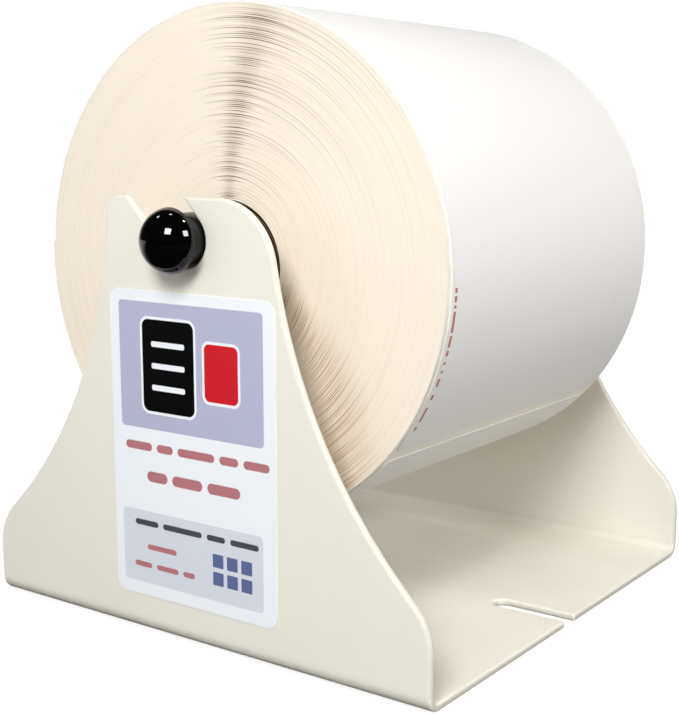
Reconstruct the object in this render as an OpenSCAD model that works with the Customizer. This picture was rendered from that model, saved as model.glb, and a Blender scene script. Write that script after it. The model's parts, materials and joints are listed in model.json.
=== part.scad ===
// Desk holder for a roll of labels: a one-piece bent sheet frame, a lift-out axle
// with domed end plugs, and a roll of die-cut labels hanging on the axle.
// X runs along the axle, the front is -Y, Z is up. The origin is the middle of the base's underside.

/* [Frame] */
// Width across the outside of the two side plates
frame_w = 140; // [120:1:180]
// Depth of the base and of the side plates' feet
frame_d = 141; // [125:1:180]
// Height of the side plates
plate_h = 111; // [105:1:130]
// Thickness of the sheet
sheet_t = 2; // [1.2:0.1:3]
// Inside radius of the two bends
bend_r = 2; // [0.8:0.1:4]
// Reach of a side plate's top edge to the front of the base's middle
front_top = 26; // [24:0.2:30]
// Reach of a side plate's top edge to the rear of the base's middle
rear_top = 24.8; // [24:0.2:30]
// Radius of a side plate's hollow front flank
front_flank_r = 130; // [110:0.5:180]
// Radius of a side plate's hollow rear flank
rear_flank_r = 121.4; // [110:0.2:150]
// Height of the upright end of a side plate's foot
foot_h = 13.3; // [10:0.1:24]
// Radius above the front foot
front_foot_r = 15.5; // [6:0.5:18]
// Radius above the rear foot
rear_foot_r = 16; // [6:0.5:18]
// Radius of the plate's front top corner
front_corner_r = 17; // [8:0.5:18]
// Radius of the plate's rear top corner
rear_corner_r = 2.5; // [1:0.5:5]

/* [Slots] */
// Depth of the axle's seat below the plate's top
seat_drop = 10; // [9:0.5:14]
// Reach of the axle's seat to the front of the base's middle
seat_fwd = 0.6; // [0:0.1:3]
// Lean of the axle slot from the upright, towards the rear
slot_lean = 43; // [35:1:50]
// Radial clearance of the axle in its slot
slot_gap = 0.3; // [0.15:0.05:0.6]
// Width of the mounting slot in the base's front edge
base_slot_w = 5.5; // [4.5:0.1:9]
// Offset of the mounting slot from the base's middle, towards the left plate
base_slot_x = 2; // [0:0.5:6]
// Length of the mounting slot
base_slot_l = 22; // [14:0.5:32]

/* [Axle] */
// Outside diameter of the axle tube
axle_d = 12.7; // [11:0.1:14]
// Wall of the axle tube
axle_wall = 1.6; // [1:0.1:2.2]
// Length of axle that shows outside each side plate
axle_out = 4.3; // [3:0.1:9]

/* [End plugs] */
// Diameter of the domed head
head_d = 14.7; // [14.3:0.1:18]
// Height of the domed head
head_h = 7.2; // [4.5:0.1:7.6]
// Height of the straight rim under the dome
head_rim = 0.5; // [0.3:0.1:1.5]
// Length of the stem inside the tube
stem_l = 13; // [9:0.5:20]
// Depth of a grip rib on the stem
rib_h = 0.6; // [0.3:0.1:0.9]
// Number of grip ribs
rib_count = 4; // [2:1:6]
// Radial clearance of the ribs in the tube
stem_gap = 0.04; // [0.02:0.01:0.1]

/* [Label roll] */
// Outside diameter of the full roll
roll_d = 127; // [106:1:150]
// Width of the backing paper
liner_w = 107.6; // [60:0.2:112]
// Bore of the cardboard core
core_bore = 27.8; // [22:0.2:40]
// Wall of the cardboard core
core_wall = 2.2; // [1.5:0.1:5]
// Gap between the axle's top and the core that hangs on it
hang_gap = 0.25; // [0.1:0.05:0.6]
// Drawn thickness of the backing paper's outer turn
liner_t = 0.35; // [0.2:0.05:0.6]
// Drawn thickness of a label
label_t = 0.2; // [0.1:0.05:0.4]
// Length of a label along the web
label_l = 152.4; // [120:0.2:170]
// Gap between two labels along the web
label_gap = 3.2; // [2:0.1:6]
// Margin of bare backing paper beside a label
label_margin = 1.6; // [1:0.1:4]
// Corner radius of a label
label_r = 3.2; // [1:0.1:6]
// Gap along the web between its free end and the turn below
seam_gap = 0.8; // [0.6:0.1:3]
// Direction of the web's free end, from the rear towards the top
free_end = 3; // [0:1:40]

/* [Side sticker] */
// Width of the sticker
sticker_w = 52.6; // [40:0.2:53]
// Height of the sticker
sticker_h = 78; // [60:0.5:79]
// Corner radius of the sticker
sticker_r = 3; // [1:0.5:6]
// Drawn thickness of the sticker
sticker_t = 0.2; // [0.1:0.05:0.4]
// Height of the sticker's lower edge above the base's underside
sticker_z = 10.2; // [9:0.1:14]
// Reach of the sticker's middle to the front of the base's middle
sticker_fwd = 1.8; // [0:0.1:3]

/* [Hidden] */
$fn = 96;
over = 1;                 // how far a cutting shape runs past what it cuts
arc_step = 3;             // degrees between points of an outline's arcs
wrap_step = 5;            // degrees between points of the roll's outer turn
wrap_gap = 0.1;           // clearance under the roll's outer turn

bend_out = bend_r + sheet_t;
axle_z = plate_h - seat_drop;
slot_r = axle_d / 2 + slot_gap;
tube_l = frame_w + 2 * axle_out;
tube_bore = axle_d - 2 * axle_wall;
core_d = core_bore + 2 * core_wall;
roll_z = axle_z + axle_d / 2 + hang_gap - core_bore / 2;

// Points of an arc about c, from angle a to angle b.
function arc(c, r, a, b) =
    let (n = max(1, ceil(abs(b - a) / arc_step)))
    [for (i = [0:n]) c + r * [cos(a + (b - a) * i / n), sin(a + (b - a) * i / n)]];

// The meeting point of two circles that lies to the right of the way from p to q.
function circles_meet(p, rp, q, rq) =
    let (d = norm(q - p), along = (d * d + rp * rp - rq * rq) / (2 * d),
         across = sqrt(rp * rp - along * along), u = (q - p) / d)
    p + along * u + across * [u.y, -u.x];

function bearing(from, to) = atan2(to.y - from.y, to.x - from.x);

// The hollow flank runs into the plate's top edge and is tangent to the round above the foot.
// top is the reach of the top edge to that side of the base's middle.
function flank_c(top, flank_r, foot_c, foot_r) =
    circles_meet(foot_c, flank_r + foot_r, [top, plate_h], flank_r);

// Centre of a round that is tangent to the plate's top edge and to the flank.
function corner_c(r, flank, flank_r) =
    [flank.x - sqrt(pow(flank_r + r, 2) - pow(flank.y - plate_h + r, 2)), plate_h - r];

// One half of a side plate's outline, from the foot up to the middle of its top edge.
function half_outline(top, flank_r, foot_r, corner_r) =
    let (foot = [frame_d / 2 - foot_r, foot_h],
         flank = flank_c(top, flank_r, foot, foot_r),
         corner = corner_c(corner_r, flank, flank_r),
         low = bearing(flank, foot) + 360, high = bearing(flank, corner) + 360)
    concat([[frame_d / 2, 0]],
           arc(foot, foot_r, 0, bearing(foot, flank)),
           arc(flank, flank_r, low, high > low ? high - 360 : high),
           arc(corner, corner_r, bearing(corner, flank), 90));

function flipped(points) = [for (i = [len(points) - 1:-1:0]) [-points[i].x, points[i].y]];

module side_outline() {
    polygon(concat(half_outline(rear_top, rear_flank_r, rear_foot_r, rear_corner_r),
                   flipped(half_outline(front_top, front_flank_r, front_foot_r, front_corner_r))));
}

// Turns a shape drawn in Y and Z, and extruded, so that it is extruded along X.
module along_x() {
    rotate([90, 0, 90]) children();
}

// The sheet after bending: base, two side plates and the bends between them.
module bent_sheet() {
    base_w = frame_w - 2 * bend_out;
    translate([-base_w / 2, -frame_d / 2 - over, 0]) cube([base_w, frame_d + 2 * over, sheet_t]);
    for (side = [-1, 1]) {
        translate([side * (frame_w - sheet_t) / 2, 0, (plate_h + over + bend_out) / 2])
            cube([sheet_t, frame_d + 2 * over, plate_h + over - bend_out], center = true);
        translate([side * base_w / 2, 0, bend_out]) intersection() {
            rotate([90, 0, 0]) difference() {
                cylinder(r = bend_out, h = frame_d + 2 * over, center = true);
                cylinder(r = bend_r, h = frame_d + 4 * over, center = true);
            }
            translate([side * bend_out / 2, 0, -bend_out / 2])
                cube([bend_out, frame_d + 4 * over, bend_out], center = true);
        }
    }
}

module axle_slots() {
    translate([0, -seat_fwd, axle_z]) {
        along_x() cylinder(r = slot_r, h = frame_w + 2 * over, center = true);
        rotate([-slot_lean, 0, 0]) translate([0, 0, plate_h / 2])
            cube([frame_w + 2 * over, 2 * slot_r, plate_h], center = true);
    }
}

module base_slot() {
    slot_end = -frame_d / 2 + base_slot_l - base_slot_w / 2;
    translate([-base_slot_x, slot_end, -over]) cylinder(d = base_slot_w, h = sheet_t + 2 * over);
    translate([-base_slot_x - base_slot_w / 2, -frame_d / 2 - over, -over])
        cube([base_slot_w, slot_end + frame_d / 2 + over, sheet_t + 2 * over]);
}

module frame() {
    color("#e6e3d6") difference() {
        intersection() {
            bent_sheet();
            along_x() linear_extrude(frame_w + 2 * over, center = true) side_outline();
        }
        axle_slots();
        base_slot();
    }
}

module axle_tube() {
    color("#1c1c1e") translate([0, -seat_fwd, axle_z]) along_x() difference() {
        cylinder(d = axle_d, h = tube_l, center = true);
        cylinder(d = tube_bore, h = tube_l + 2 * over, center = true);
    }
}

// A plug with its head's flat underside at the origin and its dome towards +Z.
module end_plug() {
    dome_h = head_h - head_rim;
    dome_r = (pow(head_d / 2, 2) + dome_h * dome_h) / (2 * dome_h);
    stem_r = tube_bore / 2 - stem_gap - rib_h;
    rib_pitch = stem_l / (rib_count + 1);
    cylinder(d = head_d, h = head_rim);
    intersection() {
        translate([0, 0, head_h - dome_r]) sphere(r = dome_r);
        translate([0, 0, head_rim]) cylinder(d = head_d + 2 * over, h = head_h);
    }
    translate([0, 0, -stem_l]) cylinder(r = stem_r, h = stem_l);
    for (i = [1:rib_count])
        translate([0, 0, -i * rib_pitch - rib_pitch / 4])
            cylinder(r1 = stem_r, r2 = stem_r + rib_h, h = rib_pitch / 2);
}

module seated_plug(side) {
    color("#0b0b0c") translate([side * tube_l / 2, -seat_fwd, axle_z]) rotate([0, side * 90, 0]) end_plug();
}

module at_roll() {
    translate([0, -seat_fwd, roll_z]) along_x() children();
}

// A round tube about the roll's own axis, as wide as the backing paper.
module roll_tube(outer_r, inner_r) {
    at_roll() difference() {
        cylinder(r = outer_r, h = liner_w, center = true);
        cylinder(r = inner_r, h = liner_w + 2 * over, center = true);
    }
}

module roll_core() {
    color("#9a7b56") roll_tube(core_d / 2, core_bore / 2);
}

// The web's outer turn runs from its free end down the rear, under the roll, up the front and
// over the top, and sinks by one web thickness on the way.
function degrees_along(length) = length / free_r * 180 / PI;

free_r = roll_d / 2 - label_t;
web_t = liner_t + label_t;
turn = 360 - degrees_along(seam_gap);
wound_r = (free_r - web_t - liner_t) * cos(wrap_step / 2) - wrap_gap;

function wrap_r(a) = free_r - web_t * a / 360;
function wrap_point(a, lift) = (wrap_r(a) + lift) * [cos(free_end - a), sin(free_end - a)];
function wrap_angles(a, b) =
    concat([a], [for (t = [wrap_step:wrap_step:360]) if (t > a && t < b) t], [b]);

// A strip of the web between the angles a and b, and between two heights above the turn's surface.
module wrap_strip(a, b, low, high, w) {
    angles = wrap_angles(a, b);
    last = len(angles) - 1;
    at_roll() linear_extrude(w, center = true)
        polygon(concat([for (i = [0:last]) wrap_point(angles[i], high)],
                       [for (i = [last:-1:0]) wrap_point(angles[i], low)]));
}

seam = norm(wrap_point(0, -liner_t) - wrap_point(turn, 0));
echo(str("least gap of the outer turn to itself: ", seam, " mm"));

module label_windings() {
    color("#f3e6d2") roll_tube(wound_r, core_d / 2);
}

module liner_wrap() {
    color("#f6efe2") wrap_strip(0, turn, -liner_t, 0, liner_w);
}

label_w = liner_w - 2 * label_margin;
label_turn = degrees_along(label_l);
gap_turn = degrees_along(label_gap);

// What the die takes off a label's two corners at the angle a. way is 1 where the label starts.
module die_corners(a, way) {
    at_roll() rotate([0, 0, free_end - a]) for (side = [-1, 1])
        translate([wrap_r(a), -way * label_r, side * (label_w / 2 - label_r)]) difference() {
            translate([-over, way > 0 ? 0 : -2 * label_r, side > 0 ? 0 : -2 * label_r])
                cube([2 * over, 2 * label_r, 2 * label_r]);
            rotate([0, 90, 0]) cylinder(r = label_r, h = 4 * over, center = true);
        }
}

// A label's place along the turn, counted from the free end. The last one runs under that end.
module outer_label(index) {
    first = index * (label_turn + gap_turn) + gap_turn / 2;
    last = first + label_turn;
    color("#fbfbfa") difference() {
        wrap_strip(first, min(last, turn), 0, label_t, label_w);
        die_corners(first, 1);
        if (last < turn)
            die_corners(last, -1);
    }
}

module side_sticker() {
    color("#f2f4f8") translate([-frame_w / 2 - sticker_t, -sticker_fwd, sticker_z + sticker_h / 2]) along_x()
        linear_extrude(sticker_t) union() {
            square([sticker_w - 2 * sticker_r, sticker_h], center = true);
            square([sticker_w, sticker_h - 2 * sticker_r], center = true);
            for (y = [-1, 1], z = [-1, 1])
                translate([y * (sticker_w / 2 - sticker_r), z * (sticker_h / 2 - sticker_r)])
                    circle(r = sticker_r);
        }
}

frame();
axle_tube();
seated_plug(-1);  // left_end_plug
seated_plug(1);  // right_end_plug
roll_core();
label_windings();
liner_wrap();
outer_label(0);  // lower_label
outer_label(1);  // front_label
outer_label(2);  // rear_label
side_sticker();
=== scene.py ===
import json
import math
import random

import bpy
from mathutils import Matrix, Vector


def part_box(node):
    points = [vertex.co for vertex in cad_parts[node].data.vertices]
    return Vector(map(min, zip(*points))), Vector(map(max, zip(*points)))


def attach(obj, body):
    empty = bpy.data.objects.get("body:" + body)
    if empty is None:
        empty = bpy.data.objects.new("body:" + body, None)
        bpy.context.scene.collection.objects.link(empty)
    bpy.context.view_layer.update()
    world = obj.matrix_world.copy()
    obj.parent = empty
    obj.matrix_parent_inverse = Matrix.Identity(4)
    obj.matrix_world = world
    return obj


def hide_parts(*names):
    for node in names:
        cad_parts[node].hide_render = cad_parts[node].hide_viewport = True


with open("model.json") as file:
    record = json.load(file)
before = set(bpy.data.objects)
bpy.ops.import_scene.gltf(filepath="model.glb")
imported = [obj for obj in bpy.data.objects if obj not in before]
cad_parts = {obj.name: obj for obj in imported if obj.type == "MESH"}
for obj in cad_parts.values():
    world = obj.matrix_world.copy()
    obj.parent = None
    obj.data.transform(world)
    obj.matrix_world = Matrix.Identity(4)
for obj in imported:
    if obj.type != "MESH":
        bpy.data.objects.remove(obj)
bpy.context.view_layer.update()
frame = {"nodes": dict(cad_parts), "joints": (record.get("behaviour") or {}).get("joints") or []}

# Frame: one sheet of 2 mm steel, laser cut, bent twice into a U and coated with almond powder that is
# baked on. The molten coat draws back round every cut edge, and the base is greyed in soft patches.
MM = 0.001
EDGE_ROUND = 0.75 * MM
MERGE_WITHIN = 0.004 * MM
FLAT_WITHIN = math.radians(0.4)
SHARP_FROM = math.radians(40)
COATS = (
    ("baked_powder_coat", "#EDEAE0", "#E8E5D9"),
    ("thin_edge_coat_painted_shade", "#DAD7CC", "#D5D2C6"),
)
COAT_MOTTLE = 28 * MM
ORANGE_PEEL = 1.1 * MM
PEEL_DEPTH = 0.04 * MM
PEEL_SHOWN = 0.12
BEND_TOP = 5 * MM
CUT_FACING = 0.9
BASE_GREY = "#C7BFB0"
BASE_GREY_FULL = 2.2 * MM
BASE_GREY_PATCH = 45 * MM
BASE_GREY_LEAST = 0.1
BASE_GREY_MOST = 0.4


def hold(piece):
    """Makes a piece the only selected one, and the active one."""
    bpy.ops.object.select_all(action="DESELECT")
    piece.select_set(True)
    bpy.context.view_layer.objects.active = piece


def edit(piece):
    """Opens a piece in edit mode with all of it selected."""
    hold(piece)
    bpy.ops.object.mode_set(mode="EDIT")
    bpy.ops.mesh.select_mode(type="VERT")
    bpy.ops.mesh.select_all(action="SELECT")


def close_edit():
    """Goes back from edit mode to whole pieces."""
    bpy.ops.object.mode_set(mode="OBJECT")


def finish_with(piece, kind, **settings):
    """Adds a modifier to a piece and applies it."""
    hold(piece)
    modifier = piece.modifiers.new(kind.title(), kind)
    for name, value in settings.items():
        setattr(modifier, name, value)
    bpy.ops.object.modifier_apply(modifier=modifier.name)


def copy_of(node, name):
    """A piece that starts as a merged copy of a solid, with whole flat faces."""
    piece = bpy.data.objects.new(name, frame["nodes"][node].data.copy())
    bpy.context.scene.collection.objects.link(piece)
    piece.data.materials.clear()
    edit(piece)
    bpy.ops.mesh.customdata_custom_splitnormals_clear()
    bpy.ops.mesh.remove_doubles(threshold=MERGE_WITHIN)
    bpy.ops.mesh.dissolve_limited(angle_limit=FLAT_WITHIN)
    close_edit()
    return piece


def round_edges(piece, width):
    """Rounds the sharp edges and keeps the flats flat to the eye."""
    finish_with(piece, "BEVEL", width=width, segments=4, limit_method="ANGLE",
                angle_limit=SHARP_FROM, use_clamp_overlap=False)
    hold(piece)
    bpy.ops.object.shade_smooth_by_angle(angle=SHARP_FROM)
    finish_with(piece, "WEIGHTED_NORMAL", weight=90, keep_sharp=True)


def colour(code):
    """The linear colour of an sRGB hex value."""
    parts = [int(code[i:i + 2], 16) / 255 for i in (1, 3, 5)]
    return [c / 12.92 if c <= 0.04045 else ((c + 0.055) / 1.055) ** 2.4 for c in parts] + [1]


def add_node(tree, kind, inputs=(), **settings):
    """Adds a node, sets it up, and links or fills its inputs."""
    node = tree.nodes.new("ShaderNode" + kind)
    for name, value in settings.items():
        setattr(node, name, value)
    for key, value in dict(inputs).items():
        if isinstance(value, bpy.types.NodeSocket):
            tree.links.new(value, node.inputs[key])
        else:
            node.inputs[key].default_value = value
    return node


def new_finish(name, roughness, ior):
    """A material with its shader, and the tree and place that its patterns start from."""
    material = bpy.data.materials.new(name)
    material.use_nodes = True
    tree = material.node_tree
    shader = tree.nodes["Principled BSDF"]
    shader.inputs["Roughness"].default_value = roughness
    shader.inputs["IOR"].default_value = ior
    place = add_node(tree, "TexCoord").outputs["Object"]
    return material, tree, shader, place


def per(size):
    """A pattern's scale, from the real size of one of its marks."""
    return 1 / size


bent_sheet = copy_of("frame", "bent_sheet")
# Baked polyester powder is an even satin film with a faint orange peel. The coat is thinner on the cut
# edges, where a darker copy of it is also painted shade that tones down the light they catch. The base is
# greyed in soft patches.
for name, light, dark in COATS:
    powder_coat, tree, shader, place = new_finish(name, 0.32, 1.45)
    mottle = add_node(tree, "TexNoise", {"Vector": place, "Scale": per(COAT_MOTTLE), "Detail": 3})
    shade = add_node(tree, "Mix", {"Factor": mottle.outputs["Fac"], 6: colour(dark), 7: colour(light)},
                     data_type="RGBA")
    height = add_node(tree, "SeparateXYZ", {0: place}).outputs["Z"]
    greyed = add_node(tree, "MapRange", {"Value": height, "From Min": BEND_TOP, "From Max": BASE_GREY_FULL})
    patch = add_node(tree, "TexNoise", {"Vector": place, "Scale": per(BASE_GREY_PATCH), "Detail": 2})
    patch = add_node(tree, "MapRange", {"Value": patch.outputs["Fac"], "From Min": 0.3, "From Max": 0.7,
                                        "To Min": BASE_GREY_LEAST, "To Max": BASE_GREY_MOST})
    greyed = add_node(tree, "Math", {0: greyed.outputs[0], 1: patch.outputs[0]}, operation="MULTIPLY")
    shade = add_node(tree, "Mix", {"Factor": greyed.outputs[0], 6: shade.outputs[2], 7: colour(BASE_GREY)},
                     data_type="RGBA")
    tree.links.new(shade.outputs[2], shader.inputs["Base Color"])
    peel = add_node(tree, "TexNoise", {"Vector": place, "Scale": per(ORANGE_PEEL), "Detail": 1})
    bump = add_node(tree, "Bump", {"Height": peel.outputs["Fac"], "Strength": PEEL_SHOWN,
                                   "Distance": PEEL_DEPTH})
    tree.links.new(bump.outputs["Normal"], shader.inputs["Normal"])
    bent_sheet.data.materials.append(powder_coat)
round_edges(bent_sheet, EDGE_ROUND)
# The darker edge coat, a thinner coat and painted shade, goes on the cut edges of the plates and of the
# base's front and rear.
for face in bent_sheet.data.polygons:
    off_base = face.center.z > BEND_TOP or abs(face.normal.y) > CUT_FACING
    face.material_index = int(off_base and abs(face.normal.x) < CUT_FACING)
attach(bent_sheet, "frame")
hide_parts("frame")

# Side sticker: a die-cut sticker of coated paper, stuck on the outside of the left plate. It is printed
# with two tinted panels, plain blocks and plain bars.
STICKER_WHITE = "#EEF1F5"
STICKER_PANEL = "#B3B5CC"
STICKER_FOOT = "#D6DAE2"
PRINT_BLACK = "#070708"
PRINT_RED = "#CC1F2B"
PRINT_MAROON = "#B4767B"
PRINT_GREY = "#4A4B50"
PRINT_SLATE = "#5D6A94"
PRINT_SOFT = 0.12 * MM
# Each panel's colour, its middle from the sticker's middle, its width and height, and its corners, in mm.
PANELS = (
    (STICKER_PANEL, -0.2, 20.4, 46.2, 31.8, 1.2),
    (STICKER_FOOT, -0.7, -26.2, 46, 19, 1.2),
    (STICKER_WHITE, -7, 20.6, 18.4, 24.4, 2.6),
    (PRINT_BLACK, -7, 20.6, 17, 23, 2),
    (STICKER_WHITE, -7, 26, 11, 1.5, 0.5),
    (STICKER_WHITE, -7, 20.6, 11, 1.5, 0.5),
    (STICKER_WHITE, -7, 15.2, 11, 1.5, 0.5),
    (STICKER_WHITE, 10, 20.6, 12, 15.4, 2.2),
    (PRINT_RED, 10, 20.6, 10.6, 14, 1.6),
)
# Each row's colour, its height on the sticker, how tall its bars are, where it starts, and how long they are.
BAR_ROWS = (
    (PRINT_MAROON, -0.1, 2.2, -22, (9, 5.5, 12, 6, 8)),
    (PRINT_MAROON, -7.6, 2.8, -15, (7, 10, 10.5)),
    (PRINT_GREY, -19.9, 1.6, -19.5, (8, 13, 6, 9)),
    (PRINT_MAROON, -26, 1.5, -15.5, (10,)),
    (PRINT_MAROON, -30.9, 1.5, -20, (6, 7.5, 4)),
)
BAR_GAP = 1.5
SQUARE = 3.5
SQUARE_R = 0.3
SQUARES_Y = (8.1, 12.6, 17.1)
SQUARES_Z = (-25.4, -29.9)

low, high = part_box("side_sticker")
sticker_y = (low.y + high.y) / 2
sticker_z = (low.z + high.z) / 2
# Clay-coated paper is a smooth, cool white with a low sheen, on which print keeps crisp edges.
sticker_print, tree, shader, place = new_finish("coated_sticker_paper", 0.45, 1.25)


def printed(under, code, y, z, w, h, corner_r):
    """Prints a rounded bar over a colour. y and z are its middle, in mm from the sticker's middle."""
    middle = (0, sticker_y - y * MM, sticker_z + z * MM)
    inner = (1, (w / 2 - corner_r) * MM, (h / 2 - corner_r) * MM)
    off = add_node(tree, "VectorMath", {0: place, 1: middle}, operation="SUBTRACT")
    off = add_node(tree, "VectorMath", {0: off.outputs[0]}, operation="ABSOLUTE")
    off = add_node(tree, "VectorMath", {0: off.outputs[0], 1: inner}, operation="SUBTRACT")
    off = add_node(tree, "VectorMath", {0: off.outputs[0], 1: (0, 0, 0)}, operation="MAXIMUM")
    far = add_node(tree, "VectorMath", {0: off.outputs[0]}, operation="LENGTH")
    edge = corner_r * MM
    ink = add_node(tree, "MapRange", {"Value": far.outputs["Value"], "From Min": edge,
                                      "From Max": edge - PRINT_SOFT}).outputs[0]
    mix = add_node(tree, "Mix", {"Factor": ink, 6: under, 7: colour(code)}, data_type="RGBA")
    return mix.outputs[2]


print_colour = colour(STICKER_WHITE)
for panel in PANELS:
    print_colour = printed(print_colour, *panel)
for code, z, h, start, bars in BAR_ROWS:
    for w in bars:
        print_colour = printed(print_colour, code, start + w / 2, z, w, h, h / 2)
        start += w + BAR_GAP
for y in SQUARES_Y:
    for z in SQUARES_Z:
        print_colour = printed(print_colour, PRINT_SLATE, y, z, SQUARE, SQUARE, SQUARE_R)
tree.links.new(print_colour, shader.inputs["Base Color"])

side_sticker = copy_of("side_sticker", "printed_sticker")
side_sticker.data.materials.append(sticker_print)
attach(side_sticker, "frame")
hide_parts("side_sticker")

# Axle: a half-inch steel tube, cut to length and sprayed satin black. It lies loose in the two slanted
# slots, and lifts out of them with the roll on it.
TUBE_BLACK = "#0B0B0C"
TUBE_BLOOM = "#131315"
BLOOM_PATCH = 3 * MM
TUBE_END_ROUND = 0.2 * MM
# Sprayed enamel is a deep black with a soft, narrow highlight along the tube and a faint, cloudy bloom.
tube_paint, tree, shader, place = new_finish("satin_black_paint", 0.22, 1.35)
bloom = add_node(tree, "TexNoise", {"Vector": place, "Scale": per(BLOOM_PATCH), "Detail": 4})
shade = add_node(tree, "Mix", {"Factor": bloom.outputs["Fac"], 6: colour(TUBE_BLACK), 7: colour(TUBE_BLOOM)},
                 data_type="RGBA")
tree.links.new(shade.outputs[2], shader.inputs["Base Color"])
axle_tube = copy_of("axle_tube", "axle_tube_painted")
axle_tube.data.materials.append(tube_paint)
round_edges(axle_tube, TUBE_END_ROUND)
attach(axle_tube, "axle")
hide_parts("axle_tube")

# End plugs: glossy domed heads moulded in black ABS, one for each end of the axle. Their ribbed stems are
# pressed into the tube until the heads sit against its ends.
PLUG_BLACK = "#020202"
PLUG_SHARP = 0.02
PLUG_DULL = 0.06
HAZE_PATCH = 3 * MM
TUBE_WALL = 1.6 * MM
STEM_GAP = 0.04 * MM
DOME_STEPS = 24
RIBS = 4
RIB_H = 0.6 * MM
HEAD_H = 7.2 * MM
HEAD_RIM = 0.5 * MM
RIM_ROUND = 0.25 * MM
HEAD_FULLER = 0.5 * MM
TURN_STEPS = 192


def lathe(name, outline, about, closed=True):
    """Spins an outline, given as places along X and radii, about a line along X."""
    if closed:
        outline = outline + outline[:1]
    points = [Vector((x, about.y, about.z + r)) for x, r in outline]
    bpy.ops.object.select_all(action="DESELECT")
    bpy.ops.mesh.primitive_plane_add(size=MM)
    piece = bpy.context.object
    piece.name = name
    edit(piece)
    bpy.ops.mesh.merge(type="CENTER")
    bpy.ops.transform.translate(value=points[0])
    for here, there in zip(points, points[1:]):
        bpy.ops.mesh.extrude_region_move(TRANSFORM_OT_translate={"value": there - here})
    bpy.ops.mesh.select_all(action="SELECT")
    bpy.ops.mesh.spin(steps=TURN_STEPS, angle=math.tau, center=about, axis=(1, 0, 0))
    bpy.ops.mesh.select_all(action="SELECT")
    bpy.ops.mesh.remove_doubles(threshold=MERGE_WITHIN)
    bpy.ops.mesh.normals_make_consistent(inside=False)
    close_edit()
    hold(piece)
    bpy.ops.object.shade_smooth_by_angle(angle=SHARP_FROM)
    return piece


# Polished black ABS reflects as sharply as wet paint, with a faint haze in soft patches.
plug_gloss, tree, shader, place = new_finish("polished_black_abs", PLUG_SHARP, 1.5)
shader.inputs["Base Color"].default_value = colour(PLUG_BLACK)
haze = add_node(tree, "TexNoise", {"Vector": place, "Scale": per(HAZE_PATCH), "Detail": 2})
haze = add_node(tree, "MapRange", {"Value": haze.outputs["Fac"], "From Min": 0.4, "From Max": 0.7,
                                   "To Min": PLUG_SHARP, "To Max": PLUG_DULL})
tree.links.new(haze.outputs[0], shader.inputs["Roughness"])
low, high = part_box("axle_tube")
rib_r = (high.z - low.z) / 2 - TUBE_WALL - STEM_GAP
stem_r = rib_r - RIB_H
for side in (-1, 1):
    node = ("left" if side < 0 else "right") + "_end_plug"
    low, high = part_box(node)
    axle_line = (low + high) / 2
    head_r = (high.z - low.z) / 2 + HEAD_FULLER
    top = max(abs(low.x), abs(high.x))
    seat = top - HEAD_H
    stem_end = min(abs(low.x), abs(high.x))
    pitch = (seat - stem_end) / (RIBS + 1)
    outline = [(stem_end, 0), (stem_end, stem_r)]
    for i in range(RIBS):
        rib = stem_end + (i + 0.75) * pitch
        outline += [(rib, stem_r), (rib, rib_r), (rib + pitch / 2, stem_r)]
    outline += [(seat, stem_r), (seat, head_r - RIM_ROUND), (seat + RIM_ROUND, head_r)]
    dome_h = HEAD_H - HEAD_RIM
    dome_r = (head_r ** 2 + dome_h ** 2) / (2 * dome_h)
    spread = math.acos((dome_r - dome_h) / dome_r)
    for i in range(DOME_STEPS + 1):
        lean = spread * (1 - i / DOME_STEPS)
        outline.append((top - dome_r + dome_r * math.cos(lean), dome_r * math.sin(lean)))
    plug = lathe(node + "_gloss", [(side * x, r) for x, r in outline], axle_line, closed=False)
    plug.data.materials.append(plug_gloss)
    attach(plug, "axle")
    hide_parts(node)

# Roll core: a tube of brown board, rolled up from glued plies, on which the web was wound. It hangs on the
# axle with a little play and lies slightly back from the roll's end faces.
KRAFT = "#A8804F"
KRAFT_GLUE_SHADE = "#0E0905"
PLY = 0.45 * MM
CORE_WALL = 2.2 * MM
CORE_BACK = 1.2 * MM
roll_axis = Vector(next(j for j in frame["joints"] if j["name"] == "roll_spin")["pos_m"])


def round_place(tree, place):
    """The place out from the roll's axis, its distance, and its angle from the rear towards the top."""
    out = add_node(tree, "VectorMath", {0: place, 1: roll_axis}, operation="SUBTRACT").outputs[0]
    out = add_node(tree, "VectorMath", {0: out, 1: (0, 1, 1)}, operation="MULTIPLY").outputs[0]
    radius = add_node(tree, "VectorMath", {0: out}, operation="LENGTH").outputs["Value"]
    split = add_node(tree, "SeparateXYZ", {0: out}).outputs
    angle = add_node(tree, "Math", {0: split["Z"], 1: split["Y"]}, operation="ARCTAN2").outputs[0]
    return out, radius, angle


# The glued plies of the board show as rings on its ends, drawn thicker than they are so that they show.
# Between the tan rings the board is near black: painted shade of the core's shadowed ends.
core_board, tree, shader, place = new_finish("spiral_wound_board", 0.85, 1.45)
radius = round_place(tree, place)[1]
plies_in_shade = add_node(tree, "TexNoise", {"W": radius, "Scale": per(PLY), "Detail": 0}, noise_dimensions="1D")
plies_in_shade = add_node(tree, "MapRange", {"Value": plies_in_shade.outputs["Fac"], "From Min": 0.53, "From Max": 0.68})
shade = add_node(tree, "Mix", {"Factor": plies_in_shade.outputs[0], 6: colour(KRAFT_GLUE_SHADE), 7: colour(KRAFT)},
                 data_type="RGBA")
tree.links.new(shade.outputs[2], shader.inputs["Base Color"])
low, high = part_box("roll_core")
core_r = (high.z - low.z) / 2
core_bore_r = core_r - CORE_WALL
core_end = high.x - CORE_BACK
core_tube = lathe("core_tube", [(-core_end, core_bore_r), (-core_end, core_r), (core_end, core_r),
                                (core_end, core_bore_r)], roll_axis)
core_tube.data.materials.append(core_board)
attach(core_tube, "roll")
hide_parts("roll_core")
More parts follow.
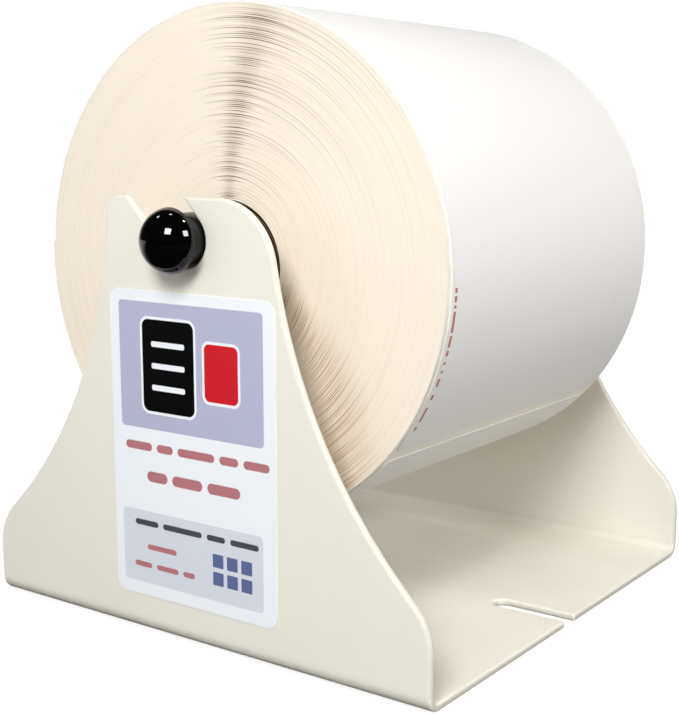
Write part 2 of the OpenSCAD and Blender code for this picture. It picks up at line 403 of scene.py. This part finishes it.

# Wound web: some hundreds of turns of labels on their backing. The slit edges of the turns make the two
# end faces, where turns stand a little proud or back of each other and loose ones leave dark arcs. Soft
# bands and the bunching and darkness of the arcs are painted shade: of the turns' grooves under the key
# light at the top, and of the left plate's shadow by its edge.
EDGE_PEACH = "#F1E6D7"
EDGE_TAN = "#EADDCB"
EDGE_GAP_SHADE = "#5C3F22"
EDGE_GOLD_SHADOW = "#9C6E14"
EDGE_LINE = 0.25 * MM
EDGE_LINE_TURN = math.radians(60)
LOOSE_LINE = 0.15 * MM
WIND_BANDS = 90
WIND_STEP = 0.04 * MM
FREE_R = 63.3 * MM
WEB_T = 0.55 * MM
LINER_T = 0.35 * MM
FREE_END = math.radians(3)
UNDER_TURN = 0.03 * MM
# The spokes of painted shade on the end faces: their angle at the axis, and how far they lean per mm
# outwards. The top and front ones stand for the turns' grooves shading under the key light, the low one for
# the left plate's shadow.
TOP_SHADE_SPOKE = (87, 0.222)
FRONT_SHADE_SPOKE = (104, 0.3)
PLATE_SHADOW_SPOKE = (-170, 0.77)
random.seed(7)
low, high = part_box("label_windings")
wound_r = (high.z - low.z) / 2
wound_end = high.x
band = (wound_r - core_r) / WIND_BANDS


def end_outline(side):
    """The stepped line of the turns' edges on one end, from the core outwards."""
    points = []
    for i in range(WIND_BANDS):
        x = side * (wound_end - random.uniform(0, WIND_STEP))
        points += [(x, core_r + i * band), (x, core_r + (i + 1) * band)]
    return points


wound_web = lathe("wound_web", end_outline(-1) + end_outline(1)[::-1], roll_axis)
for vertex in wound_web.data.vertices:
    from_axis = vertex.co - roll_axis
    r = math.hypot(from_axis.y, from_axis.z)
    if r > wound_r - band / 2:
        turned = (FREE_END - math.atan2(from_axis.z, from_axis.y)) % math.tau
        fuller = (FREE_R - WEB_T * turned / math.tau - LINER_T - UNDER_TURN) / r
        vertex.co = roll_axis + Vector((from_axis.x, from_axis.y * fuller, from_axis.z * fuller))
# Slit edges of paper are matte and creamy, with fine lines along the turns and dark gaps by loose ones. The
# lines are drawn coarser than the paper is thick so that they show. Where the gaps bunch into spokes they
# are painted shade, with soft dark bands, and by the left plate golden bands and arcs are its painted shadow.
slit_edges, tree, shader, place = new_finish("slit_paper_edges", 0.75, 1.45)
out, radius, angle = round_place(tree, place)


def shade_spoke(middle, lean, width, depth):
    """A spoke of painted shade: its angle at the axis and its lean outwards per mm, in degrees, its
    half width, and how dark it is. It fades from its middle to its sides."""
    drift = add_node(tree, "Math", {0: radius, 1: math.radians(lean) / MM, 2: math.radians(middle)},
                     operation="MULTIPLY_ADD").outputs[0]
    off = add_node(tree, "Math", {0: angle, 1: drift}, operation="SUBTRACT").outputs[0]
    off = add_node(tree, "Math", {0: off, 1: math.pi, 2: -math.pi}, operation="WRAP").outputs[0]
    off = add_node(tree, "Math", {0: off}, operation="ABSOLUTE").outputs[0]
    share = add_node(tree, "Math", {0: off, 1: width}, operation="DIVIDE").outputs[0]
    return add_node(tree, "MapRange", {"Value": share, "From Min": 1, "From Max": 0, "To Max": depth},
                    interpolation_type="SMOOTHSTEP").outputs[0]


def shaded_loose_turns(middle, lean, pitch, least, most, depth):
    """Thin dark arcs on single turns about a spoke, gaps that are drawn darker there as painted shade. Each
    has its own place, depth and half length by chance, the last from least to most degrees."""
    count = add_node(tree, "Math", {0: radius, 1: per(pitch)}, operation="MULTIPLY").outputs[0]
    turn = add_node(tree, "Math", {0: count}, operation="FLOOR").outputs[0]
    part = add_node(tree, "Math", {0: count}, operation="FRACT").outputs[0]
    chance = add_node(tree, "TexWhiteNoise", {"W": turn}, noise_dimensions="1D").outputs["Color"]
    chance = add_node(tree, "SeparateColor", {0: chance}).outputs
    at = add_node(tree, "MapRange", {"Value": chance["Red"], "To Min": 0.3, "To Max": 0.7}).outputs[0]
    off = add_node(tree, "Math", {0: part, 1: at}, operation="SUBTRACT").outputs[0]
    off = add_node(tree, "Math", {0: off}, operation="ABSOLUTE").outputs[0]
    line = add_node(tree, "MapRange", {"Value": off, "From Min": LOOSE_LINE / pitch,
                                       "From Max": 0}).outputs[0]
    width = add_node(tree, "MapRange", {"Value": chance["Green"], "To Min": math.radians(least),
                                        "To Max": math.radians(most)}).outputs[0]
    arc = shade_spoke(middle, lean, width, depth)
    arc = add_node(tree, "Math", {0: line, 1: arc}, operation="MULTIPLY").outputs[0]
    return add_node(tree, "Math", {0: arc, 1: chance["Blue"]}, operation="MULTIPLY").outputs[0]


way = add_node(tree, "VectorMath", {0: out}, operation="NORMALIZE").outputs[0]
way = add_node(tree, "VectorMath", {0: way, "Scale": per(EDGE_LINE_TURN)}, operation="SCALE").outputs[0]
across = add_node(tree, "Math", {0: radius, 1: per(EDGE_LINE)}, operation="MULTIPLY").outputs[0]
across = add_node(tree, "CombineXYZ", {"X": across}).outputs[0]
spot = add_node(tree, "VectorMath", {0: way, 1: across}, operation="ADD").outputs[0]
fine = add_node(tree, "TexNoise", {"Vector": spot, "Scale": 1, "Detail": 1}).outputs["Fac"]
fine = add_node(tree, "MapRange", {"Value": fine, "From Min": 0.52, "From Max": 0.75}).outputs[0]
shade = add_node(tree, "Mix", {"Factor": fine, 6: colour(EDGE_PEACH), 7: colour(EDGE_TAN)},
                 data_type="RGBA").outputs[2]
# Painted shade: a soft dark band at the top, and dark arcs bunched about the top and front spokes, where the
# turns' grooves shade under the key light.
gaps_and_painted_shade = (
    shade_spoke(*TOP_SHADE_SPOKE, math.radians(8), 0.15),
    shaded_loose_turns(*TOP_SHADE_SPOKE, 0.45 * MM, 6, 26, 1.4),
    shaded_loose_turns(*FRONT_SHADE_SPOKE, 0.85 * MM, 20, 55, 0.55),
)
# Painted shadow of the left plate: a golden band by its edge, and golden arcs on single turns within it.
golden_painted_shadow = (
    shade_spoke(*PLATE_SHADOW_SPOKE, math.radians(18), 0.16),
    shaded_loose_turns(*PLATE_SHADOW_SPOKE, 0.5 * MM, 8, 24, 1.2),
)
for marks, code in ((gaps_and_painted_shade, EDGE_GAP_SHADE), (golden_painted_shadow, EDGE_GOLD_SHADOW)):
    depth = marks[0]
    for mark in marks[1:]:
        depth = add_node(tree, "Math", {0: depth, 1: mark}, operation="ADD", use_clamp=True).outputs[0]
    shade = add_node(tree, "Mix", {"Factor": depth, 6: shade, 7: colour(code)}, data_type="RGBA").outputs[2]
tree.links.new(shade, shader.inputs["Base Color"])
wound_web.data.materials.append(slit_edges)
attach(wound_web, "roll")
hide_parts("label_windings")

# Outer turn: the last turn of the backing paper, glazed smooth so that labels peel off it. It is wound tight
# on the roll, thicker here than the real paper, and stops in a free end at the rear.
SEAM_GAP = 0.8 * MM
WEB_CUT = 2.2 * MM
CORNER_STEPS = 8
LINER_LIGHT = "#F0EBE2"
LINER_DARK = "#EBE4D8"
LINER_CLOUD = 5 * MM


def wind(piece):
    """Winds a flat piece on the roll: its Y runs along the web from the free end, and its Z is lift."""
    for vertex in piece.data.vertices:
        x, along, lift = vertex.co
        turned = along / FREE_R
        r = FREE_R - WEB_T * turned / math.tau + lift
        angle = FREE_END - turned
        vertex.co = (x, roll_axis.y + r * math.cos(angle), roll_axis.z + r * math.sin(angle))
    hold(piece)
    bpy.ops.object.shade_smooth_by_angle(angle=SHARP_FROM)


def flat_piece(name, w, start, end, corner_r):
    """A flat piece of the web with round corners, cut across every few mm so that it can be wound."""
    bpy.ops.object.select_all(action="DESELECT")
    bpy.ops.mesh.primitive_plane_add(size=1)
    piece = bpy.context.object
    piece.name = name
    edit(piece)
    bpy.ops.transform.resize(value=(w, end - start, 1))
    bpy.ops.transform.translate(value=(0, (start + end) / 2, 0))
    if corner_r:
        bpy.ops.mesh.bevel(offset=corner_r, segments=CORNER_STEPS, affect="VERTICES")
    cuts = int((end - start) / WEB_CUT)
    for i in range(1, cuts):
        bpy.ops.mesh.select_all(action="SELECT")
        bpy.ops.mesh.bisect(plane_co=(0, start + (end - start) * i / cuts, 0), plane_no=(0, 1, 0))
    close_edit()
    return piece


# Glassine is dense, pressed paper with a low gloss and a faintly cloudy, warm white.
glassine, tree, shader, place = new_finish("glassine_backing", 0.35, 1.45)
cloud = add_node(tree, "TexNoise", {"Vector": place, "Scale": per(LINER_CLOUD), "Detail": 4})
shade = add_node(tree, "Mix", {"Factor": cloud.outputs["Fac"], 6: colour(LINER_DARK), 7: colour(LINER_LIGHT)},
                 data_type="RGBA")
tree.links.new(shade.outputs[2], shader.inputs["Base Color"])
liner_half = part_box("liner_wrap")[1].x
liner = flat_piece("outer_turn", 2 * liner_half, 0, math.tau * FREE_R - SEAM_GAP, 0)
finish_with(liner, "SOLIDIFY", thickness=LINER_T, offset=-1)
wind(liner)
liner.data.materials.append(glassine)
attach(liner, "roll")
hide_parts("liner_wrap")

# Labels: direct-thermal paper, die cut with round corners on the backing and held by its adhesive. The last
# one runs under the web's free end.
LABEL_L = 152.4 * MM
LABEL_GAP = 3.2 * MM
LABEL_R = 3.2 * MM
LABEL_T = 0.2 * MM
PAPER_WHITE = "#E9E7E4"
PAPER_SHADE = "#E4E2DF"
PAPER_FIBRE = 0.8 * MM
EDGE_PRINT = "#B0715A"
EDGE_PRINT_X = -50.3 * MM
EDGE_PRINT_HALF = 0.5 * MM
EDGE_PRINT_FROM = math.radians(-178.4)
EDGE_PRINT_TO = math.radians(-145.3)
EDGE_DASH = 0.7 * MM
EDGE_DASH_GAPS = 0.35
label_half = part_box("front_label")[1].x
# Thermal paper is an even, matte white. Its fibres are drawn coarser than they are so that a trace shows.
label_paper, tree, shader, place = new_finish("thermal_label_paper", 0.6, 1.45)
fibre = add_node(tree, "TexNoise", {"Vector": place, "Scale": per(PAPER_FIBRE), "Detail": 4})
shade = add_node(tree, "Mix", {"Factor": fibre.outputs["Fac"], 6: colour(PAPER_SHADE),
                               7: colour(PAPER_WHITE)}, data_type="RGBA").outputs[2]
# A line of short printed dashes runs along the left edge of the front label.
angle = round_place(tree, place)[2]
across = add_node(tree, "SeparateXYZ", {0: place}).outputs["X"]
in_line = add_node(tree, "Math", {0: across, 1: EDGE_PRINT_X, 2: EDGE_PRINT_HALF},
                   operation="COMPARE").outputs[0]
middle = (EDGE_PRINT_FROM + EDGE_PRINT_TO) / 2
in_turn = add_node(tree, "Math", {0: angle, 1: middle, 2: EDGE_PRINT_TO - middle},
                   operation="COMPARE").outputs[0]
dash = add_node(tree, "Math", {0: angle, 1: per(EDGE_DASH / FREE_R)}, operation="MULTIPLY").outputs[0]
dash = add_node(tree, "Math", {0: dash}, operation="FLOOR").outputs[0]
dash = add_node(tree, "TexWhiteNoise", {"W": dash}, noise_dimensions="1D").outputs["Value"]
ink = add_node(tree, "Math", {0: dash, 1: EDGE_DASH_GAPS}, operation="GREATER_THAN").outputs[0]
ink = add_node(tree, "Math", {0: ink, 1: in_line}, operation="MULTIPLY").outputs[0]
ink = add_node(tree, "Math", {0: ink, 1: in_turn}, operation="MULTIPLY").outputs[0]
shade = add_node(tree, "Mix", {"Factor": ink, 6: shade, 7: colour(EDGE_PRINT)}, data_type="RGBA").outputs[2]
tree.links.new(shade, shader.inputs["Base Color"])
for i, name in enumerate(("lower", "front", "rear")):
    start = i * (LABEL_L + LABEL_GAP) + LABEL_GAP / 2
    end = min(start + LABEL_L, math.tau * FREE_R - SEAM_GAP)
    label = flat_piece(name + "_die_cut_label", 2 * label_half, start, end, LABEL_R)
    finish_with(label, "SOLIDIFY", thickness=LABEL_T, offset=1)
    wind(label)
    label.data.materials.append(label_paper)
    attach(label, "roll")
    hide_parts(name + "_label")

# Stage: a pale floor that keeps the object's shadow, soft lamps as in a small studio, and a camera where
# the photograph was taken from.
CAMERA_AT = Vector((-295.9, -210.9, 123.9)) * MM
HEADING = math.radians(35.87)
PITCH = math.radians(9.99)
FOCAL_PIXELS = 1296.7
MIDDLE_OFF = (5.3, 12.5)
PHOTO_HEIGHT = 714
ahead = Vector((math.cos(HEADING) * math.cos(PITCH), math.sin(HEADING) * math.cos(PITCH), -math.sin(PITCH)))
bpy.ops.object.camera_add(location=CAMERA_AT, rotation=ahead.to_track_quat("-Z", "Y").to_euler())
camera = bpy.context.object
camera.data.sensor_width = 36
camera.data.lens = camera.data.sensor_width * FOCAL_PIXELS / PHOTO_HEIGHT
camera.data.shift_x = -MIDDLE_OFF[0] / PHOTO_HEIGHT
camera.data.shift_y = MIDDLE_OFF[1] / PHOTO_HEIGHT
camera.data.clip_start = 10 * MM
bpy.context.scene.camera = camera

WHITE = "#FFFFFF"
FLOOR_PALE = "#868686"
FLOOR_FRONT = "#161616"
FLOOR_SIZE = 8
FLOOR_BEHIND = 0.2
GLOW_NEAR = 0.8
GLOW_FAR = 1.0
NEAR = 0.12
FAR = 0.4


def seen(tree, ray, behind):
    """One for the rays that see the pale background: from the camera, through glass, and in reflections of
    what lies behind the object."""
    mirrored = add_node(tree, "Math", {0: ray["Is Glossy Ray"], 1: behind}, operation="MULTIPLY").outputs[0]
    straight = add_node(tree, "Math", {0: ray["Is Camera Ray"], 1: ray["Is Transmission Ray"]},
                        operation="MAXIMUM").outputs[0]
    return add_node(tree, "Math", {0: mirrored, 1: straight}, operation="MAXIMUM").outputs[0]


bpy.ops.object.select_all(action="DESELECT")
bpy.ops.mesh.primitive_plane_add(size=FLOOR_SIZE)
floor = bpy.context.object
floor.name = "floor"
# Matte paint that looks white from afar and a little duller by the object, so that its shadow shows. In
# reflections the floor in front of the object is dark, as a studio's is.
floor_paint, tree, shader, place = new_finish("pale_floor", 0.9, 1.3)
shader.inputs["Emission Color"].default_value = colour(WHITE)
far = add_node(tree, "VectorMath", {0: place}, operation="LENGTH").outputs["Value"]
glow = add_node(tree, "MapRange", {"Value": far, "From Min": NEAR, "From Max": FAR, "To Min": GLOW_NEAR,
                                   "To Max": GLOW_FAR}).outputs[0]
ray = add_node(tree, "LightPath").outputs
behind = add_node(tree, "VectorMath", {0: place, 1: ahead}, operation="DOT_PRODUCT").outputs["Value"]
behind = add_node(tree, "MapRange", {"Value": behind, "From Min": 0, "From Max": FLOOR_BEHIND}).outputs[0]
glow = add_node(tree, "Math", {0: glow, 1: seen(tree, ray, behind)}, operation="MULTIPLY").outputs[0]
tree.links.new(glow, shader.inputs["Emission Strength"])
shade = add_node(tree, "Mix", {"Factor": ray["Is Glossy Ray"], 6: colour(FLOOR_PALE), 7: colour(FLOOR_FRONT)},
                 data_type="RGBA")
tree.links.new(shade.outputs[2], shader.inputs["Base Color"])
floor.data.materials.append(floor_paint)

# Each lamp's place in metres, the length of its sides, and its power. Fills aren't seen in reflections.
LIGHTS = {
    "key": ((-0.55, -0.215, 0.47), 0.22, 4),
    "front": ((-0.06, -1.01, 0.57), 0.33, 7),
    "fill": ((-0.85, -0.75, 0.3), 1, 1),
    "left_fill": ((-0.9, 0.5, 0.25), 0.8, 2.3),
    "right_fill": ((1.2, 0.15, 0.25), 0.5, 5),
    "rear_fill": ((0.3, 1.2, 0.16), 0.25, 6),
    "ceiling_rear": ((-0.17, 0.75, 1.1), 0.12, 0.6),
    "ceiling_middle": ((0.08, 0.25, 1.3), 0.12, 0.5),
    "ceiling_front": ((0.26, -0.52, 1.15), 0.1, 1.3),
}
LIT_POINT = Vector((0, 0, 80)) * MM
for name, (at, size, power) in LIGHTS.items():
    at = Vector(at)
    turned = (LIT_POINT - at).to_track_quat("-Z", "Y").to_euler()
    bpy.ops.object.light_add(type="AREA", location=at, rotation=turned)
    lamp = bpy.context.object
    lamp.name = name
    lamp.data.size = size
    lamp.data.energy = power
    lamp.visible_glossy = "fill" not in name

AMBIENT = 0.1
MIRRORED = 0.02
BEHIND_FROM = 0.6
BEHIND_FULL = 0.9
world = bpy.data.worlds.new("studio")
bpy.context.scene.world = world
world.use_nodes = True
tree = world.node_tree
background = tree.nodes["Background"]
background.inputs["Color"].default_value = colour(WHITE)
ray = add_node(tree, "LightPath").outputs
behind = add_node(tree, "TexCoord").outputs["Generated"]
behind = add_node(tree, "VectorMath", {0: behind, 1: ahead}, operation="DOT_PRODUCT").outputs["Value"]
behind = add_node(tree, "MapRange", {"Value": behind, "From Min": BEHIND_FROM,
                                     "From Max": BEHIND_FULL}).outputs[0]
around = add_node(tree, "MapRange", {"Value": ray["Is Glossy Ray"], "To Min": AMBIENT,
                                     "To Max": MIRRORED}).outputs[0]
strength = add_node(tree, "MapRange", {"Value": seen(tree, ray, behind), "To Min": around, "To Max": 1})
tree.links.new(strength.outputs[0], background.inputs["Strength"])
bpy.context.scene.view_settings.view_transform = "Standard"
